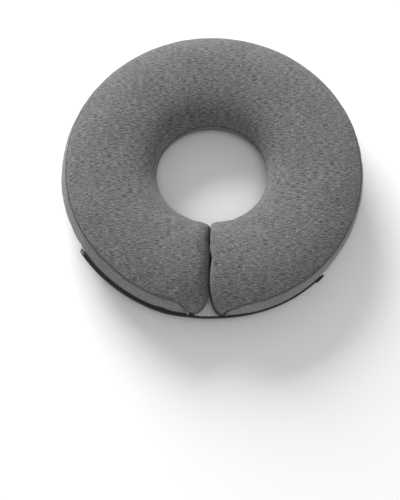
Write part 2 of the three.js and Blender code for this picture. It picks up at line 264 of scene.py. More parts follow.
# %% [markdown]
# ## Wrapping flat grids into panels
# A cutter lays the panels out flat, and so do we: each panel starts as a flat grid, whose columns go
# round the ring and whose rows go across the panel. A grid keeps its quads in order, which the pressure
# of the air and the seams need. On the round ends the columns follow the curve in even steps.

# %% Turns of the columns
RING_STEP = 0.0222  # radians between the columns of the ring
END_STEP = 0.0026  # metres between the columns of an end, along its profile
FINE_STEPS = 4000
FINE_POWER = 4  # crowds the fine steps at the slit
TIP_STEPS = (0.0, 0.0003, 0.0008, 0.0015, 0.0025, 0.0038, 0.0055)  # past the tip of the gusset
TIP_ROOM = 0.006  # radians, on both sides of a tip's columns


def end_turns(end):
    """Turns from the slit, in even steps along the profile of a round end."""
    turns = [0.0]
    last = (0.0, 0.0)
    run = 0.0
    for step in range(1, FINE_STEPS):
        lateral = end.roll * (step / FINE_STEPS) ** FINE_POWER
        here = (lateral, FRONT_RISE * quarter_curve(lateral, end.roll, END_ROLL_POWER))
        run += math.dist(last, here)
        last = here
        if run >= END_STEP * len(turns):
            turns.append(math.asin(lateral / MIDDLE_RADIUS))
    return turns


def tip_turns(end):
    """The gusset opens fast at its tip, so its first columns stand close together."""
    return [math.asin((end.tip + step) / MIDDLE_RADIUS) for step in TIP_STEPS]


def column_turns():
    right = end_turns(RIGHT_END)
    left = [FULL_TURN - turn for turn in reversed(end_turns(LEFT_END))]
    first = math.asin(RIGHT_END.roll / MIDDLE_RADIUS)
    last = FULL_TURN - math.asin(LEFT_END.roll / MIDDLE_RADIUS)
    count = round((last - first) / RING_STEP)
    even = right + [mix(first, last, step / count) for step in range(count + 1)] + left
    tips = tip_turns(RIGHT_END) + [FULL_TURN - turn for turn in tip_turns(LEFT_END)]
    apart = [turn for turn in even if min(abs(turn - tip) for tip in tips) > TIP_ROOM]
    return sorted(apart + tips)


TURNS = column_turns()
print("columns round the ring:", len(TURNS))

# %% Wrap a grid round the ring
FACE_ROWS = 32
GUSSET_ROWS = 16
FRONT, GUSSET, BACK = 0, 1, 2
WELD = 0.00002
LEAST_EDGE = 0.00001


def wrap_panel(bm, point, rows, number, turned):
    """Adds a panel, with its cloth coordinates as a UV map and its distances to the seams on its points."""
    made = bmesh.ops.create_grid(bm, x_segments=len(TURNS) - 1, y_segments=rows, size=1)
    cloth = bm.loops.layers.uv["cloth"]
    to_seam = bm.verts.layers.float["to_seam"]
    along = bm.verts.layers.float["along"]
    columns = {}
    for vert in made["verts"]:
        column = round((vert.co.x + 1) / 2 * (len(TURNS) - 1))
        columns.setdefault(column, []).append(vert)
    laid = {}
    from_slit = [0.0]
    for low, high in zip(TURNS, TURNS[1:]):
        step = front_point(section_at(high), 0.5) - front_point(section_at(low), 0.5)
        from_slit.append(from_slit[-1] + step.length)
    for column, verts in columns.items():
        verts.sort(key=lambda vert: vert.co.y)
        turn = TURNS[column]
        section = section_at(turn)
        lengths = [0.0]
        for row, vert in enumerate(verts):
            vert.co = point(section, row / rows)
            if row:
                lengths.append(lengths[-1] + (vert.co - verts[row - 1].co).length)
        to_slit = min(from_slit[column], from_slit[-1] - from_slit[column])
        for vert, length in zip(verts, lengths):
            vert[to_seam] = min(length, lengths[-1] - length, to_slit)
            vert[along] = turn * MIDDLE_RADIUS
            radius = MIDDLE_RADIUS + length - lengths[rows // 2]
            if number == GUSSET:
                laid[vert] = (turn * OUTER_RADIUS, length)
            else:
                laid[vert] = (radius * math.sin(turn), -radius * math.cos(turn))
    faces = {face for vert in made["verts"] for face in vert.link_faces}
    for face in faces:
        face.material_index = number
        for loop in face.loops:
            loop[cloth].uv = laid[loop.vert]
    if turned:
        bmesh.ops.reverse_faces(bm, faces=list(faces))


# %% Sew the three panels into one skin
def make_skin():
    bm = bmesh.new()
    bm.verts.layers.float.new("to_seam")
    bm.verts.layers.float.new("along")
    bm.loops.layers.uv.new("cloth")
    wrap_panel(bm, front_point, FACE_ROWS, FRONT, False)
    wrap_panel(bm, gusset_point, GUSSET_ROWS, GUSSET, False)
    wrap_panel(bm, back_point, FACE_ROWS, BACK, True)
    bmesh.ops.remove_doubles(bm, verts=bm.verts, dist=WELD)
    bmesh.ops.dissolve_degenerate(bm, dist=LEAST_EDGE, edges=bm.edges)
    bmesh.ops.recalc_face_normals(bm, faces=bm.faces)
    open_edges = [edge for edge in bm.edges if not edge.is_manifold]
    print("skin:", len(bm.verts), "points,", len(open_edges), "open edges")
    return make_piece(bm, "skin")


skin = make_skin()

# %% [markdown]
# ## Air pressure
# Air pushes the cloth out between its seams, and the seams hold it back. Blender's Cloth does this with
# its pressure setting. The seams are pinned. The panels start a little slack, and a cap on how far a
# point moves keeps the collar at its size. What passes the floor is laid flat on it again.

# %% Inflate the skin
SLACK = 0.0012
SLACK_REACH = 0.02  # distance from a seam at which the cloth is free
GUSSET_SLACK = 0.0005
MOST_MOVE = 0.0032
AIR = SimpleNamespace(pressure=4, frames=20, quality=6, mass=0.3, shrink=-0.008)
PINNED_REACH = 0.0001


def slacken(mesh):
    """Draws the faces in a little. The rim gives less, and the ends at the slit stay where they are."""
    to_seam = mesh.attributes["to_seam"].data
    for vert in mesh.vertices:
        reach = smooth_share(to_seam[vert.index].value, 0, SLACK_REACH)
        at_slit = abs(vert.normal.x) if vert.co.y < -NECK_RADIUS and abs(vert.co.x) < END_REACH else 0.0
        upright = math.hypot(vert.normal.x, vert.normal.y)
        vert.co -= vert.normal * mix(SLACK, GUSSET_SLACK, upright) * reach * (1 - at_slit)


def inflate(piece):
    """Runs the air pressure and gives back each point's move."""
    mesh = piece.data
    to_seam = mesh.attributes["to_seam"].data
    seams = piece.vertex_groups.new(name="seams")
    pinned = [vert.index for vert in mesh.vertices if to_seam[vert.index].value < PINNED_REACH]
    seams.add(pinned, 1.0, "REPLACE")
    cloth = piece.modifiers.new("air", "CLOTH")
    cloth.settings.quality = AIR.quality
    cloth.settings.mass = AIR.mass
    cloth.settings.use_pressure = True
    cloth.settings.uniform_pressure_force = AIR.pressure
    cloth.settings.effector_weights.gravity = 0
    cloth.settings.vertex_group_mass = "seams"
    cloth.settings.shrink_min = AIR.shrink
    cloth.point_cache.frame_end = AIR.frames
    for number in range(1, AIR.frames + 1):
        bpy.context.scene.frame_set(number)
    shown = piece.evaluated_get(bpy.context.evaluated_depsgraph_get())
    moves = [end.co - start.co for start, end in zip(mesh.vertices, shown.data.vertices)]
    piece.modifiers.remove(cloth)
    piece.vertex_groups.clear()
    bpy.context.scene.frame_set(1)
    return moves


def capped(move):
    return move * (MOST_MOVE * math.tanh(move.length / MOST_MOVE) / max(move.length, 1e-9))


slacken(skin.data)
moves = inflate(skin)
for vert, move in zip(skin.data.vertices, moves):
    vert.co += capped(move)
lengths = sorted(capped(move).length for move in moves)
print("air moved half of the points at least", round(lengths[len(lengths) // 2], 5), "m")

# %% [markdown]
# ## Gathers and the floor
# Sewn cloth gathers a little beside its seams, more round the tight neck than round the wide rim. Each
# gather runs away from the seam and fades. A noise that is read along the seam gives them uneven widths.
# After that, the ends are kept on their own sides of the slit and the back is kept on the floor.

# %% Gather the cloth beside its seams
NECK_GATHER = SimpleNamespace(depth=0.0009, width=0.0065, fade=0.008)
RIM_GATHER = SimpleNamespace(depth=0.0005, width=0.0050, fade=0.006)
SLOW_WAVE = SimpleNamespace(depth=0.0006, width=0.038)
GATHER_SEED = 7.3
GATHER_START = 0.002  # where a gather has risen, from its seam
MOSTLY_IN = 0.25  # cloth sinks between its stitches
STRAP_ZONE = SimpleNamespace(top=0.003, left=math.radians(58), right=math.radians(48))


def gather_depth(gather, along, distance, reach):
    place_on_seam = Vector((along / gather.width, distance / gather.fade / 3, GATHER_SEED))
    fade = math.exp(-distance / gather.fade) * smooth_share(distance, 0, GATHER_START)
    return gather.depth * reach * fade * (noise.noise(place_on_seam) - MOSTLY_IN)


def gather_cloth(mesh):
    to_seam = mesh.attributes["to_seam"].data
    along = mesh.attributes["along"].data
    moves = []
    for vert in mesh.vertices:
        distance = to_seam[vert.index].value
        run = along[vert.index].value
        from_axis = math.hypot(vert.co.x, vert.co.y)
        at_rim = smooth_share(from_axis, NECK_RADIUS, OUTER_RADIUS)
        depth = gather_depth(NECK_GATHER, run, distance, 1 - at_rim)
        depth += gather_depth(RIM_GATHER, run, distance, at_rim)
        wave = noise.noise(vert.co / SLOW_WAVE.width)
        depth += SLOW_WAVE.depth * wave * smooth_share(distance, 0, SLACK_REACH)
        moves.append(vert.normal * depth)
    for vert, move in zip(mesh.vertices, moves):
        vert.co += move


def keep_apart(mesh):
    """Lays the back on the floor and keeps each end on its own side of the slit, where the knit gets
    painted shade.
    """
    to_seam = mesh.attributes["to_seam"].data
    for vert in mesh.vertices:
        vert.co.z = max(vert.co.z, MIDDLE_HEIGHT - REST_DEPTH)
        if vert.co.y > -NECK_RADIUS or abs(vert.co.x) > RIGHT_END.roll / 2:
            continue
        middle = slit_middle(math.hypot(vert.co.x, vert.co.y), vert.co.z - MIDDLE_HEIGHT)
        side = math.copysign(1, vert.co.x - middle)
        vert.co.x = middle + side * max(SLIT_GAP / 2, abs(vert.co.x - middle))
        # Painted shade: the distance to the other end darkens the knit's colour on the slit's walls.
        to_other_end = abs(vert.co.x - middle) - SLIT_GAP / 2
        to_seam[vert.index].value = min(to_seam[vert.index].value, to_other_end)


def hold_rim(mesh):
    """The straps press on the rim, so it can't swell past its plain form under them."""
    for vert in mesh.vertices:
        height = vert.co.z - MIDDLE_HEIGHT
        turn = math.atan2(vert.co.x, -vert.co.y)
        beside = -BACK_SEAM_DEPTH < height < STRAP_ZONE.top
        if not (beside and -STRAP_ZONE.left < turn < STRAP_ZONE.right):
            continue
        most = rim_radius(turn) - rim_inset(section_at(turn % FULL_TURN), height)
        radius = math.hypot(vert.co.x, vert.co.y)
        squeeze = min(1.0, most / radius)
        vert.co.x *= squeeze
        vert.co.y *= squeeze


gather_cloth(skin.data)
hold_rim(skin.data)
keep_apart(skin.data)
print("skin:", [round(x, 4) for x in skin.dimensions])

# %% [markdown]
# ## Panels with rolled seam edges
# At a seam the cloth turns down into the seam, so that a seam shows as a fine dark line between two
# rolled edges, and the knit's colour also gets painted shade along it. The skin is cut into its three
# panels. Two narrow rings of faces are inset along each cut edge and sunk step by step, and the wall's
# thickness and smoothness come from modifiers.

# %% Cut the skin into panels
SEAM_RINGS = (0.0005, 0.0009)  # widths of the rings, from the cut edge inwards
SEAM_SINKS = (0.0020, 0.0007)  # how far the rows of points sink, from the cut edge inwards
TIP_SPAN = 0.004
TIP_PASSES = 6
INSET = {"use_boundary": True, "use_even_offset": False, "use_interpolate": True}
ALL_AXES = {"use_axis_x": True, "use_axis_y": True, "use_axis_z": True}


def roll_border(bm):
    region = bm.faces[:]
    for width in SEAM_RINGS:
        bmesh.ops.inset_region(bm, faces=region, thickness=width, **INSET)
    bm.normal_update()
    to_seam = bm.verts.layers.float["to_seam"]
    row = {vert for vert in bm.verts if vert.is_boundary}
    passed = set()
    distance = 0.0
    for sink, width in zip(SEAM_SINKS, SEAM_RINGS):
        passed |= row
        for vert in row:
            vert.co -= vert.normal * sink
            vert[to_seam] = distance
        distance += width
        row = {edge.other_vert(vert) for vert in row for edge in vert.link_edges} - passed
    for vert in row:
        vert[to_seam] = distance


def smooth_tips(bm):
    """Evens out the folds of cloth where the gusset runs out to a tip."""
    for turn in (tip_turns(RIGHT_END)[0], FULL_TURN - tip_turns(LEFT_END)[0]):
        section = section_at(turn)
        tip = place(section, section.outer, 0)
        near = [vert for vert in bm.verts if (vert.co - tip).length < TIP_SPAN]
        for _ in range(TIP_PASSES):
            bmesh.ops.smooth_vert(bm, verts=near, factor=0.5, **ALL_AXES)


def cut_panel(number, name):
    bm = bmesh.new()
    bm.from_mesh(skin.data)
    others = [face for face in bm.faces if face.material_index != number]
    bmesh.ops.delete(bm, geom=others, context="FACES")
    roll_border(bm)
    smooth_tips(bm)
    for face in bm.faces:
        face.material_index = 0
    piece = make_piece(bm, name)
    smooth = piece.modifiers.new("smooth cloth", "SUBSURF")
    smooth.levels = smooth.render_levels = 1
    wall = piece.modifiers.new("cloth wall", "SOLIDIFY")
    wall.thickness = CLOTH
    wall.offset = -1
    print(name, "faces before smoothing:", len(piece.data.polygons))
    return piece


cover_front = cut_panel(FRONT, "cover_front")
cover_gusset = cut_panel(GUSSET, "cover_gusset")
cover_back = cut_panel(BACK, "cover_back")
bpy.data.objects.remove(skin)

# %% [markdown]
# ## Stitches
# Thread crosses each seam in short, slanting stitches, as an overlock machine sews them. A stitch is a
# slim bead that starts as a small sphere and is stretched from one hole to the next.

# %% Beads of thread
THREAD = 0.00024
BEAD_SIDES = 6


def make_bead():
    bm = bmesh.new()
    bmesh.ops.create_uvsphere(bm, u_segments=BEAD_SIDES, v_segments=BEAD_SIDES, radius=1)
    return make_mesh(bm, "bead")


BEAD = make_bead()


def add_stitch(bm, start, end, radius=THREAD):
    along = end - start
    turn = along.to_track_quat("Z", "X").to_matrix().to_4x4()
    shape = Matrix.Diagonal((radius, radius, along.length / 2, 1))
    stitch = BEAD.copy()
    stitch.transform(Matrix.Translation((start + end) / 2) @ turn @ shape)
    bm.from_mesh(stitch)
    bpy.data.meshes.remove(stitch)


# %% Stitches across the three seams
SEAM_PITCH = 0.0032
STITCH_REACH = 0.0009
STITCH_SLANT = 0.0005
STITCH_DEPTH = 0.00055
NEAR_SEAM = 0.03  # share of a panel
NEAR_GUSSET = 0.985
UNSEWN_TIP = 0.006


def seam_sides(section, name):
    """A point on the seam and one on each side of it."""
    if name == "front":
        return gusset_point(section, 0), front_point(section, NEAR_GUSSET), gusset_point(section, NEAR_SEAM)
    if name == "back":
        past = gusset_point(section, 1 - NEAR_SEAM)
        return gusset_point(section, 1), back_point(section, NEAR_GUSSET), past
    return front_point(section, 0), front_point(section, NEAR_SEAM), back_point(section, NEAR_SEAM)


def sew_seam(bm, name, first, last, radius):
    count = round((last - first) * radius / SEAM_PITCH)
    for number in range(count + 1):
        turn = mix(first, last, number / count)
        section = section_at(turn)
        middle, before, after = seam_sides(section, name)
        across = (after - before).normalized()
        core = place(section, (section.inner + section.outer) / 2, 0)
        outward = middle - core
        outward = (outward - across * outward.dot(across)).normalized()
        forward = across.cross(outward)
        centre = middle - outward * STITCH_DEPTH
        reach = across * STITCH_REACH + forward * STITCH_SLANT
        add_stitch(bm, centre - reach, centre + reach)


def make_seam_stitches():
    bm = bmesh.new()
    right = math.asin((RIGHT_END.tip + UNSEWN_TIP) / MIDDLE_RADIUS)
    left = FULL_TURN - math.asin((LEFT_END.tip + UNSEWN_TIP) / MIDDLE_RADIUS)
    sew_seam(bm, "front", right, left, OUTER_RADIUS)
    sew_seam(bm, "back", right, left, OUTER_RADIUS)
    neck = math.asin(NECK_CORNER / MIDDLE_RADIUS)
    sew_seam(bm, "neck", neck, FULL_TURN - neck, NECK_RADIUS)
    print("seam stitches:", len(bm.faces) // BEAD_SIDES ** 2)
    return make_piece(bm, "seam_stitches")


seam_stitches = make_seam_stitches()

# %% [markdown]
# ## Straps
# A strip of loop pile is sewn along the rim on the left. The closing strap is sewn down on the right,
# crosses the slit and presses its hook tape onto the pile, which is thinner beside the slit. The straps
# run a little askew. They don't stretch, so they are modelled straight away: a flat grid is laid along a
# path round the rim, and Solidify gives it its thickness.

# %% Points on the rim for the straps
STRAP_WIDTH = 0.020
STRAP_CLEARANCE = 0.0003
LOOP_THICKNESS = 0.0017
LOOP_PRESSED = SimpleNamespace(share=0.4, start=-20, end=-6)  # degrees, where the pile gets thinner
WEBBING = 0.0011
STRAP_TOP = -0.002
STRAP_RISE = SimpleNamespace(by=0.004, start=12, end=42)  # degrees to the left, where the strap rises
LOOP_START = math.radians(5.6)
LOOP_END = math.radians(56.5)
HOOK_FREE_END = math.radians(56.1)
HOOK_SEWN_END = math.radians(46.3)
HOOK_FOLD = 0.007
HOOK_LIFT = 0.0003
HOOK_LIFT_LENGTH = 0.060
STRAP_LEAN = math.atan(BACK_SEAM_INSET / (FULLEST_HEIGHT + BACK_SEAM_DEPTH))
SLOPE_STEP = 0.0005


def rim_lean(section, height):
    drop = rim_inset(section, height - SLOPE_STEP) - rim_inset(section, height + SLOPE_STEP)
    return math.atan2(drop, 2 * SLOPE_STEP)


def strap_point(turn, share, stand_off):
    """turn is signed here: the left side is negative."""
    section = section_at(turn % FULL_TURN)
    rise = STRAP_RISE.by * smooth_share(-math.degrees(turn), STRAP_RISE.start, STRAP_RISE.end)
    height = STRAP_TOP + rise - share * STRAP_WIDTH * math.cos(STRAP_LEAN)
    lean = rim_lean(section, height)
    radius = rim_radius(turn) - rim_inset(section, height) + stand_off * math.cos(lean)
    z = MIDDLE_HEIGHT + height - stand_off * math.sin(lean)
    return Vector((radius * math.sin(turn), -radius * math.cos(turn), z))


def loop_share(turn):
    """Share of the loop strip's full thickness at a turn."""
    pressed = smooth_share(math.degrees(turn), LOOP_PRESSED.start, LOOP_PRESSED.end)
    return mix(1, LOOP_PRESSED.share, pressed)


def hook_seat(turn):
    over_loop = STRAP_CLEARANCE + LOOP_THICKNESS * loop_share(turn) + STRAP_CLEARANCE
    down = mix(over_loop, STRAP_CLEARANCE, smooth_share(turn, -LOOP_START, LOOP_START))
    from_free_end = (turn + HOOK_FREE_END) * OUTER_RADIUS
    return down + HOOK_LIFT * (1 - smooth_share(from_free_end, 0, HOOK_LIFT_LENGTH))


# %% Lay a strip along a path
STRIP_STEP = 0.0022
STRIP_ROWS = 10
CORNER_ANGLE = math.radians(50)


def strip_path(first, last, seat):
    count = round((last - first) * OUTER_RADIUS / STRIP_STEP)
    turns = [mix(first, last, step / count) for step in range(count + 1)]
    return [(turn, seat(turn)) for turn in turns]


def make_strip(name, path, thickness, rounding, fullness=lambda turn: 1.0):
    """A strip along (turn, stand-off) pairs. fullness gives its share of the thickness at a turn."""
    bm = bmesh.new()
    made = bmesh.ops.create_grid(bm, x_segments=len(path) - 1, y_segments=STRIP_ROWS, size=1)
    cloth = bm.loops.layers.uv.new("cloth")
    laid = {}
    runs = [0.0]
    for low, high in zip(path, path[1:]):
        step = strap_point(high[0], 0.5, high[1]) - strap_point(low[0], 0.5, low[1])
        runs.append(runs[-1] + step.length)
    for vert in made["verts"]:
        column = round((vert.co.x + 1) / 2 * (len(path) - 1))
        share = (1 - vert.co.y) / 2
        vert.co = strap_point(path[column][0], share, path[column][1])
        laid[vert] = (runs[column], share * STRAP_WIDTH)
    for face in bm.faces:
        for loop in face.loops:
            loop[cloth].uv = laid[loop.vert]
    bm.normal_update()
    first = min(bm.faces, key=lambda face: face.calc_center_median().x)
    centre = first.calc_center_median()
    if first.normal.dot(Vector((centre.x, centre.y, 0))) < 0:
        bmesh.ops.reverse_faces(bm, faces=bm.faces)
    piece = make_piece(bm, name)
    full = piece.vertex_groups.new(name="full thickness")
    for vert in piece.data.vertices:
        full.add([vert.index], fullness(math.atan2(vert.co.x, -vert.co.y)), "REPLACE")
    wall = piece.modifiers.new("thickness", "SOLIDIFY")
    wall.vertex_group = full.name
    wall.thickness = thickness
    wall.offset = 0
    wall.material_offset = 1
    edges = piece.modifiers.new("soft edges", "BEVEL")
    edges.width = rounding
    edges.segments = 2
    edges.limit_method = "ANGLE"
    edges.angle_limit = CORNER_ANGLE
    print(name, "length", round(runs[-1], 4), "m")
    return piece


# %% The loop strip and the folded closing strap
BEND_STEPS = 6
STRIP_ROUNDING = 0.0003
SHY = SimpleNamespace(loop=0.0002, hook=0.0001)  # how much thinner a strip is than the room it has


def loop_middle(turn):
    return STRAP_CLEARANCE + LOOP_THICKNESS * loop_share(turn) / 2


def hook_path():
    """From the free end over the slit to the sewn end, round its bend and back over the fold."""
    middle = strip_path(-HOOK_FREE_END, HOOK_SEWN_END, lambda turn: hook_seat(turn) + WEBBING / 2)
    top = STRAP_CLEARANCE + WEBBING
    bend = []
    for step in range(1, BEND_STEPS):
        angle = math.pi * step / BEND_STEPS
        turn = HOOK_SEWN_END + math.sin(angle) * WEBBING / 2 / OUTER_RADIUS
        bend.append((turn, top - math.cos(angle) * WEBBING / 2))
    fold_end = HOOK_SEWN_END - HOOK_FOLD / OUTER_RADIUS
    back = strip_path(fold_end, HOOK_SEWN_END, lambda turn: top + WEBBING / 2)
    return middle + bend + back[::-1]


loop_strip = make_strip(
    "loop_strip_pile",
    strip_path(-LOOP_END, -LOOP_START, loop_middle),
    LOOP_THICKNESS - SHY.loop,
    STRIP_ROUNDING,
    loop_share,
)
hook_strap = make_strip("closing_strap", hook_path(), WEBBING - SHY.hook, STRIP_ROUNDING)

# %% [markdown]
# The strap's sewn end is held by a box of stitches with a cross in it, and two rows hold the hook tape
# on its inner side. Each row follows the strap, a little proud of it.

# %% Stitches on the closing strap
ROW_INSET = 0.08  # share of the strap's width
BOX_LENGTH = 0.0045
BOX_INSET = 0.0018  # from the sewn end
ROW_PITCH = 0.003
BOX_PITCH = 0.0024
ROW_THREAD = 0.0003
STITCH_RUN = (0.14, 0.86)  # the part of its pitch that a stitch covers
PROUD = 0.00005
ROW_END = 0.02  # radians left free at both ends of a row


def strap_row(bm, start, end, stand_off, pitch=ROW_PITCH):
    """A row between two (turn, share) places on the strap."""
    length = math.hypot((end[0] - start[0]) * OUTER_RADIUS, (end[1] - start[1]) * STRAP_WIDTH)
    count = max(1, round(length / pitch))
    for number in range(count):
        ends = []
        for part in STITCH_RUN:
            share = (number + part) / count
            turn = mix(start[0], end[0], share)
            ends.append(strap_point(turn, mix(start[1], end[1], share), stand_off(turn)))
        add_stitch(bm, ends[0], ends[1], ROW_THREAD)


def over_strap(turn):
    return hook_seat(turn) + WEBBING + PROUD


def over_fold(turn):
    return hook_seat(turn) + 2 * WEBBING + PROUD


def make_strap_stitches():
    bm = bmesh.new()
    low = ROW_INSET
    high = 1 - ROW_INSET
    for share in (low, high):
        strap_row(bm, (-HOOK_FREE_END + ROW_END, share), (-LOOP_START - ROW_END, share), over_strap)
    right = HOOK_SEWN_END - BOX_INSET / OUTER_RADIUS
    left = right - BOX_LENGTH / OUTER_RADIUS
    corners = [(left, low), (right, low), (right, high), (left, high)]
    sides = list(zip(corners, corners[1:] + corners[:1]))
    cross = [(corners[0], corners[2]), (corners[1], corners[3])]
    for start, end in sides + cross:
        strap_row(bm, start, end, over_fold, BOX_PITCH)
    return make_piece(bm, "strap_stitches")


strap_stitches = make_strap_stitches()

# %% [markdown]
# ## Valve
# Air goes in through a valve like the one on a swimming ring: a disc that is welded to the air chamber,
# a short neck and a cap with a tab and a hinge. Everything round is spun from half of its outline, and
# the finished valve is stood square on the rim, opposite the slit.

# %% Spin the valve
VALVE_HEIGHT = -0.008
BODY_OUTLINE = (  # (radius, height over the cover)
    (0.0, -0.012), (0.0074, -0.012), (0.008, -0.0114), (0.008, 0.0003), (0.0126, 0.0003),
    (0.013, 0.0007), (0.013, 0.0011), (0.0126, 0.0015), (0.0112, 0.0016), (0.0108, 0.0012),
    (0.0104, 0.0016), (0.0092, 0.0019), (0.0082, 0.0027), (0.0076, 0.0028), (0.0, 0.0028),
)
CAP_OUTLINE = (
    (0.0, 0.00285), (0.0066, 0.00285), (0.007, 0.0031), (0.007, 0.0042), (0.0066, 0.0047), (0.006, 0.0048),
    (0.0048, 0.0048), (0.0044, 0.0044), (0.0042, 0.0043), (0.0, 0.0043),
)
PULL_TAB = SimpleNamespace(centre=(0, 0.0085, 0.0034), size=(0.0046, 0.0046, 0.0009))
HINGE = SimpleNamespace(centre=(0, -0.0088, 0.0026), size=(0.0028, 0.0052, 0.0007))
TAB_ROUNDING = 0.35  # share of a tab's thickness
SPIN = {"cent": (0, 0, 0), "axis": (0, 0, 1), "angle": FULL_TURN, "steps": 48}
SPIN_WELD = 0.000002


def spin_outline(bm, outline):
    verts = [bm.verts.new((radius, 0, height)) for radius, height in outline]
    edges = [bm.edges.new(pair) for pair in zip(verts, verts[1:])]
    bmesh.ops.spin(bm, geom=verts + edges, use_merge=True, **SPIN)


def add_tab(bm, tab):
    shape = Matrix.Translation(tab.centre) @ Matrix.Diagonal((*tab.size, 1))
    made = bmesh.ops.create_cube(bm, size=1, matrix=shape)
    edges = list({edge for vert in made["verts"] for edge in vert.link_edges})
    rounding = min(tab.size) * TAB_ROUNDING
    bmesh.ops.bevel(bm, geom=edges, offset=rounding, segments=2, affect="EDGES", profile=0.5, material=-1)


def make_valve():
    bm = bmesh.new()
    spin_outline(bm, BODY_OUTLINE)
    spin_outline(bm, CAP_OUTLINE)
    bmesh.ops.remove_doubles(bm, verts=bm.verts, dist=SPIN_WELD)
    bmesh.ops.recalc_face_normals(bm, faces=bm.faces)
    add_tab(bm, PULL_TAB)
    add_tab(bm, HINGE)
    section = section_at(math.pi)
    lean = rim_lean(section, VALVE_HEIGHT)
    seat = Vector((0, OUTER_RADIUS - rim_inset(section, VALVE_HEIGHT), MIDDLE_HEIGHT + VALVE_HEIGHT))
    axis = Vector((0, math.cos(lean), -math.sin(lean)))
    turn = axis.to_track_quat("Z", "Y").to_matrix().to_4x4()
    bmesh.ops.transform(bm, matrix=Matrix.Translation(seat) @ turn, verts=bm.verts)
    piece = make_piece(bm, "valve")
    edges = piece.modifiers.new("crisp edges", "WEIGHTED_NORMAL")
    edges.keep_sharp = True
    return piece, seat


valve, valve_seat = make_valve()
print("valve at", [round(x, 4) for x in valve_seat])

# %% [markdown]
# ## Materials
# The knit is heather grey: yarns of several greys are spun together, so its colour is made of short
# flecks that lie along the knitted rows. Effects that more than one material uses are node groups with
# named inputs and outputs, and each material places them with its own values.

# %% Small helpers for nodes
def add(tree, kind, **settings):
    node = tree.nodes.new("ShaderNode" + kind)
    for name, value in settings.items():
        setattr(node, name, value)
    return node


def feed(tree, socket, value):
    if isinstance(value, bpy.types.NodeSocket):
        tree.links.new(value, socket)
    else:
        socket.default_value = value


def calculate(tree, operation, *values):
    node = add(tree, "Math", operation=operation)
    for socket, value in zip(node.inputs, values):
        feed(tree, socket, value)
    return node.outputs[0]


def vector_times(tree, vector, factors):
    node = add(tree, "VectorMath", operation="MULTIPLY")
    feed(tree, node.inputs[0], vector)
    feed(tree, node.inputs[1], factors)
    return node.outputs[0]


def blend(tree, share, low, high):
    node = add(tree, "Mix", data_type="RGBA")
    for index, value in ((0, share), (6, low), (7, high)):
        feed(tree, node.inputs[index], value)
    return node.outputs[2]


def grain(tree, vector, scale, detail=2.0, roughness=0.5):
    node = add(tree, "TexNoise")
    feed(tree, node.inputs["Vector"], vector)
    feed(tree, node.inputs["Scale"], scale)
    feed(tree, node.inputs["Detail"], detail)
    feed(tree, node.inputs["Roughness"], roughness)
    return node.outputs["Fac"]


def step_between(tree, value, low, high, start=0.0, end=1.0):
    node = add(tree, "MapRange", interpolation_type="SMOOTHSTEP")
    for socket, number in zip(node.inputs, (value, low, high, start, end)):
        feed(tree, socket, number)
    return node.outputs[0]


def new_group(name, inputs, outputs):
    group = bpy.data.node_groups.new(name, "ShaderNodeTree")
    for label, kind, value in inputs:
        socket = group.interface.new_socket(label, in_out="INPUT", socket_type="NodeSocket" + kind)
        socket.default_value = value
    for label, kind in outputs:
        group.interface.new_socket(label, in_out="OUTPUT", socket_type="NodeSocket" + kind)
    return group, group.nodes.new("NodeGroupInput").outputs, group.nodes.new("NodeGroupOutput").inputs


# %% The heather knit group
ROW_SWAY = SimpleNamespace(by=0.006, scale=90.0)  # knitted rows aren't quite straight
FLECK_FINENESS = 1.7
CLOUD_SCALE = 28.0
LEG_SLANT = 1.15  # how steeply the legs of a stitch stand


def make_heather_group():
    group, given, made = new_group(
        "Heather knit",
        [
            ("Vector", "Vector", (0, 0, 0)),
            ("Dark Yarn", "Color", (0.045, 0.045, 0.046, 1)),
            ("Light Yarn", "Color", (0.175, 0.175, 0.177, 1)),
            ("Fleck", "Color", (0.31, 0.31, 0.312, 1)),
            ("Streak Width", "Float", 0.0009),
            ("Streak Stretch", "Float", 6.0),
            ("Stitch", "Float", 0.001),
        ],
        [("Color", "Color"), ("Height", "Float")],
    )
    sums = partial(calculate, group)
    sway = add(group, "CombineXYZ")
    wave = grain(group, given["Vector"], ROW_SWAY.scale, 1.0)
    feed(group, sway.inputs["Y"], sums("MULTIPLY", wave, ROW_SWAY.by))
    bent = add(group, "VectorMath", operation="ADD")
    feed(group, bent.inputs[0], given["Vector"])
    feed(group, bent.inputs[1], sway.outputs[0])
    shorten = add(group, "CombineXYZ")
    feed(group, shorten.inputs["X"], sums("DIVIDE", 1.0, given["Streak Stretch"]))
    shorten.inputs["Y"].default_value = 1
    shorten.inputs["Z"].default_value = 1
    laid = vector_times(group, bent.outputs[0], shorten.outputs[0])
    scale = sums("DIVIDE", 1.0, given["Streak Width"])
    streak = step_between(group, grain(group, laid, scale, 2.0, 0.6), 0.32, 0.68)
    fleck_scale = sums("MULTIPLY", scale, FLECK_FINENESS)
    fleck = step_between(group, grain(group, laid, fleck_scale, 1.0), 0.6, 0.72)
    clouds = step_between(group, grain(group, given["Vector"], CLOUD_SCALE, 2.0), 0.3, 0.7, 0.94, 1.06)
    color = blend(group, streak, given["Dark Yarn"], given["Light Yarn"])
    color = blend(group, fleck, color, given["Fleck"])
    feed(group, made["Color"], vector_times(group, color, clouds))

    apart = add(group, "SeparateXYZ")
    feed(group, apart.inputs[0], given["Vector"])
    wale = sums("DIVIDE", apart.outputs["X"], given["Stitch"])
    slope = sums("PINGPONG", wale, 0.5)
    course = sums("DIVIDE", apart.outputs["Y"], given["Stitch"])
    leg = sums("ADD", sums("MULTIPLY", course, LEG_SLANT), slope)
    loop = sums("SINE", sums("MULTIPLY", leg, FULL_TURN))
    ridge = sums("MULTIPLY", sums("ADD", loop, 1.0), 0.3)
    rib = sums("ADD", ridge, sums("MULTIPLY", slope, 0.6))
    fuzz = sums("MULTIPLY", streak, 0.5)
    feed(group, made["Height"], sums("ADD", rib, fuzz))
    return group


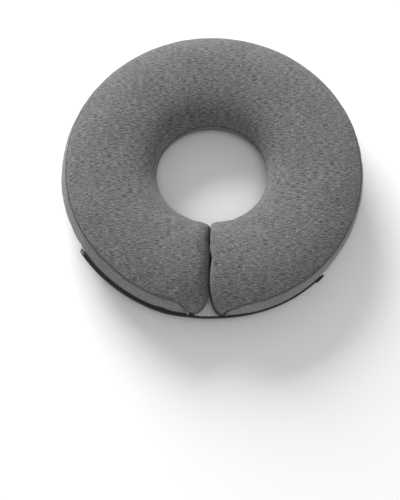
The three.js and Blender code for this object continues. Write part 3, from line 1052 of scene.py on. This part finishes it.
heather_group = make_heather_group()
print("heather knit group:", len(heather_group.nodes), "nodes")

# %% The woven tape group
def make_tape_group():
    group, given, made = new_group(
        "Woven tape",
        [
            ("Vector", "Vector", (0, 0, 0)),
            ("Yarn", "Float", 0.0011),
            ("Tape Color", "Color", (0.011, 0.011, 0.012, 1)),
            ("Worn Color", "Color", (0.03, 0.03, 0.032, 1)),
        ],
        [("Color", "Color"), ("Height", "Float")],
    )
    sums = partial(calculate, group)
    apart = add(group, "SeparateXYZ")
    feed(group, apart.inputs[0], given["Vector"])
    along = sums("DIVIDE", apart.outputs["X"], given["Yarn"])
    across = sums("DIVIDE", apart.outputs["Y"], given["Yarn"])
    yarns = []
    for slant in ("ADD", "SUBTRACT"):
        phase = sums("MULTIPLY", sums(slant, along, across), math.pi)
        yarns.append(sums("SINE", phase))
    weave = sums("MULTIPLY", *yarns)
    height = sums("ADD", sums("MULTIPLY", weave, 0.5), 0.5)
    fuzz = grain(group, given["Vector"], 900.0, 2.0)
    worn = step_between(group, sums("MULTIPLY", height, fuzz), 0.3, 0.75)
    feed(group, made["Color"], blend(group, worn, given["Tape Color"], given["Worn Color"]))
    feed(group, made["Height"], sums("ADD", height, sums("MULTIPLY", fuzz, 0.4)))
    return group


tape_group = make_tape_group()


# %% One material from a group
def new_material(name, roughness, sheen=0.0):
    material = bpy.data.materials.new(name)
    material.use_nodes = True
    shader = material.node_tree.nodes["Principled BSDF"]
    shader.inputs["Roughness"].default_value = roughness
    shader.inputs["Sheen Weight"].default_value = sheen
    shader.inputs["Sheen Roughness"].default_value = 0.5
    return material, material.node_tree, shader


def cloth_vector(tree, turn=0.0):
    """The flat cloth's coordinates, in metres, turned by an angle."""
    laid = add(tree, "UVMap", uv_map="cloth")
    mapping = add(tree, "Mapping")
    feed(tree, mapping.inputs["Vector"], laid.outputs["UV"])
    mapping.inputs["Rotation"].default_value = (0, 0, turn)
    return mapping.outputs["Vector"]


def object_vector(tree):
    return add(tree, "TexCoord").outputs["Object"]


def bump(tree, shader, height, distance, strength=1.0):
    node = add(tree, "Bump")
    node.inputs["Distance"].default_value = distance
    node.inputs["Strength"].default_value = strength
    feed(tree, node.inputs["Height"], height)
    feed(tree, shader.inputs["Normal"], node.outputs["Normal"])


def from_group(tree, shader, group, vector, distance, **values):
    node = add(tree, "Group", node_tree=group)
    feed(tree, node.inputs["Vector"], vector)
    for label, value in values.items():
        node.inputs[label.replace("_", " ")].default_value = value
    feed(tree, shader.inputs["Base Color"], node.outputs["Color"])
    bump(tree, shader, node.outputs["Height"], distance)


def mottle(tree, shader, vector, scale, detail, dark, light, roughness=0.5):
    """Lets the colour waver between two tones, and gives back the grain that it follows."""
    waver = grain(tree, vector, scale, detail, roughness)
    feed(tree, shader.inputs["Base Color"], blend(tree, waver, (*dark, 1), (*light, 1)))
    return waver


KNIT_RELIEF = 0.0002
# Painted shade: the knit's colour is darkened near its seams and in the slit, from 0.35 of it close in to
# none 1.6 mm away.
SEAM_PAINTED_SHADE = (0.0003, 0.0016, 0.35, 1.0)  # distances, then shares of the colour


def knit_material(name, turn, **values):
    """Knit with painted shade: its colour is darker where it turns down into a seam or into the slit."""
    material, tree, shader = new_material(name, 0.95, 0.2)
    from_group(tree, shader, heather_group, cloth_vector(tree, turn), KNIT_RELIEF, **values)
    knitted = shader.inputs["Base Color"].links[0].from_socket
    # The painted shade is read from the distances to the seams and to the other end that are stored on the
    # mesh.
    to_seam = add(tree, "Attribute", attribute_name="to_seam")
    painted_seam_shade = step_between(tree, to_seam.outputs["Fac"], *SEAM_PAINTED_SHADE)
    feed(tree, shader.inputs["Base Color"], vector_times(tree, knitted, painted_seam_shade))
    return material


# %% [markdown]
# The front and the back are cut with the knitted rows straight across. The gusset is a long strip, cut
# so that the rows cross it at a slant, and its yarns differ less from each other.

# %% The knits
cover_knit = knit_material("cover_knit", 0.0)
gusset_knit = knit_material(
    "gusset_knit",
    math.radians(62),
    Dark_Yarn=(0.095, 0.095, 0.097, 1),
    Light_Yarn=(0.19, 0.19, 0.192, 1),
    Streak_Width=0.0013,
    Streak_Stretch=2.5,
)

# %% Tape, pile, thread and plastic
strap_webbing, tree, shader = new_material("strap_webbing", 0.85, 0.1)
from_group(tree, shader, tape_group, cloth_vector(tree), 0.0003)

hook_tape, tree, shader = new_material("hook_tape", 0.55)
from_group(tree, shader, tape_group, cloth_vector(tree, math.radians(45)), 0.0006, Yarn=0.0016)

loop_pile, tree, shader = new_material("loop_pile", 0.95, 0.3)
pile = mottle(tree, shader, cloth_vector(tree), 1100.0, 3.0, (0.004,) * 3, (0.03, 0.03, 0.031), 0.7)
bump(tree, shader, pile, 0.0008)

cover_thread, tree, shader = new_material("cover_thread", 0.8)
mottle(tree, shader, object_vector(tree), 2500.0, 1.0, (0.1, 0.1, 0.105), (0.24, 0.24, 0.245))

strap_thread, tree, shader = new_material("strap_thread", 0.7)
mottle(tree, shader, object_vector(tree), 2500.0, 1.0, (0.012,) * 3, (0.05,) * 3)

valve_plastic, tree, shader = new_material("valve_plastic", 0.4)
cast = mottle(tree, shader, object_vector(tree), 60.0, 3.0, (0.33, 0.34, 0.35), (0.4, 0.41, 0.42))
feed(tree, shader.inputs["Roughness"], step_between(tree, cast, 0.3, 0.7, 0.32, 0.5))
bump(tree, shader, grain(tree, object_vector(tree), 900.0, 2.0), 0.00004)

bladder_vinyl, tree, shader = new_material("bladder_vinyl", 0.3)
film = mottle(tree, shader, object_vector(tree), 45.0, 3.0, (0.6, 0.64, 0.67), (0.72, 0.76, 0.79))
feed(tree, shader.inputs["Roughness"], step_between(tree, film, 0.3, 0.7, 0.22, 0.4))
bump(tree, shader, film, 0.0006)

# %% [markdown]
# ## Dressing the frame
# Every piece now gets its material. It replaces the solid that it stands for and rides on the collar's
# one body.

DRESSED = (
    (cover_front, [cover_knit], "front_panel", "knit_cover"),
    (cover_back, [cover_knit], "back_panel", "knit_cover"),
    (cover_gusset, [gusset_knit], "side_gusset", "knit_gusset"),
    (seam_stitches, [cover_thread], None, "knit_cover"),
    (loop_strip, [loop_pile, strap_webbing], "loop_strip", "loop_pile"),
    (hook_strap, [strap_webbing, hook_tape], "hook_strap", "strap_webbing"),
    (strap_stitches, [strap_thread], None, "strap_webbing"),
    (valve, [valve_plastic], "inflation_valve", "valve_plastic"),
)
for piece, materials, solid, slot in DRESSED:
    for material in materials:
        piece.data.materials.append(material)
    if solid:
        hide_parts(solid)
    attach(piece, "root")

chamber = bpy.data.objects["air_bladder"]
chamber.data.materials.clear()
chamber.data.materials.append(bladder_vinyl)
print("pieces:", [piece.name for piece, *_ in DRESSED])

# %% [markdown]
# ## Camera, floor and light
# The photograph looks at the front face from a little below its middle line. With the collar lying on
# its back, that is a camera 64 degrees above the floor, in front of the slit.

# %% Camera at the photograph's angle
ELEVATION = math.radians(64)
DISTANCE = 1.3
PHOTO_WIDTH = 400
PHOTO_HEIGHT = 500
SENSOR = 36
METRES_PER_PIXEL = 0.001003
COLLAR_AT = (210.4, 174.9)

middle = Vector((0, 0, MIDDLE_HEIGHT))
to_camera = Vector((0, -math.cos(ELEVATION), math.sin(ELEVATION)))
camera_up = Vector((0, math.sin(ELEVATION), math.cos(ELEVATION)))
camera_data = bpy.data.cameras.new("camera")
camera_data.sensor_width = SENSOR
camera_data.lens = SENSOR * DISTANCE / (PHOTO_HEIGHT * METRES_PER_PIXEL)
camera = bpy.data.objects.new("camera", camera_data)
bpy.context.scene.collection.objects.link(camera)
camera.location = middle + to_camera * DISTANCE
right_px = COLLAR_AT[0] - PHOTO_WIDTH / 2
down_px = COLLAR_AT[1] - PHOTO_HEIGHT / 2
aim = middle - Vector((right_px, 0, 0)) * METRES_PER_PIXEL + camera_up * down_px * METRES_PER_PIXEL
camera.rotation_euler = (aim - camera.location).to_track_quat("-Z", "Y").to_euler()
bpy.context.scene.camera = camera
print("lens", round(camera_data.lens, 2), "mm")

# %% Floor
floor_material, tree, shader = new_material("pale_floor", 0.9)
mottle(tree, shader, object_vector(tree), 4.0, 2.0, (0.86,) * 3, (0.88,) * 3)
bm = bmesh.new()
bmesh.ops.create_grid(bm, x_segments=1, y_segments=1, size=6)
floor = make_piece(bm, "floor")
floor.data.materials.append(floor_material)

# %% Lights
ROOM_LIGHT = 0.44


def area_light(name, location, size, power):
    data = bpy.data.lights.new(name, "AREA")
    data.size = size
    data.energy = power
    light = bpy.data.objects.new(name, data)
    bpy.context.scene.collection.objects.link(light)
    light.location = location
    light.rotation_euler = (-Vector(location)).to_track_quat("-Z", "Y").to_euler()


area_light("key", location=(-1.0, 2.0, 1.15), size=1.6, power=102)
area_light("fill", location=(0.15, -0.8, 1.8), size=0.8, power=9)
world = bpy.data.worlds.new("studio")
bpy.context.scene.world = world
world.use_nodes = True
background = world.node_tree.nodes["Background"].inputs
background["Color"].default_value = (1, 1, 1, 1)
background["Strength"].default_value = ROOM_LIGHT
bpy.context.scene.view_settings.view_transform = "Standard"
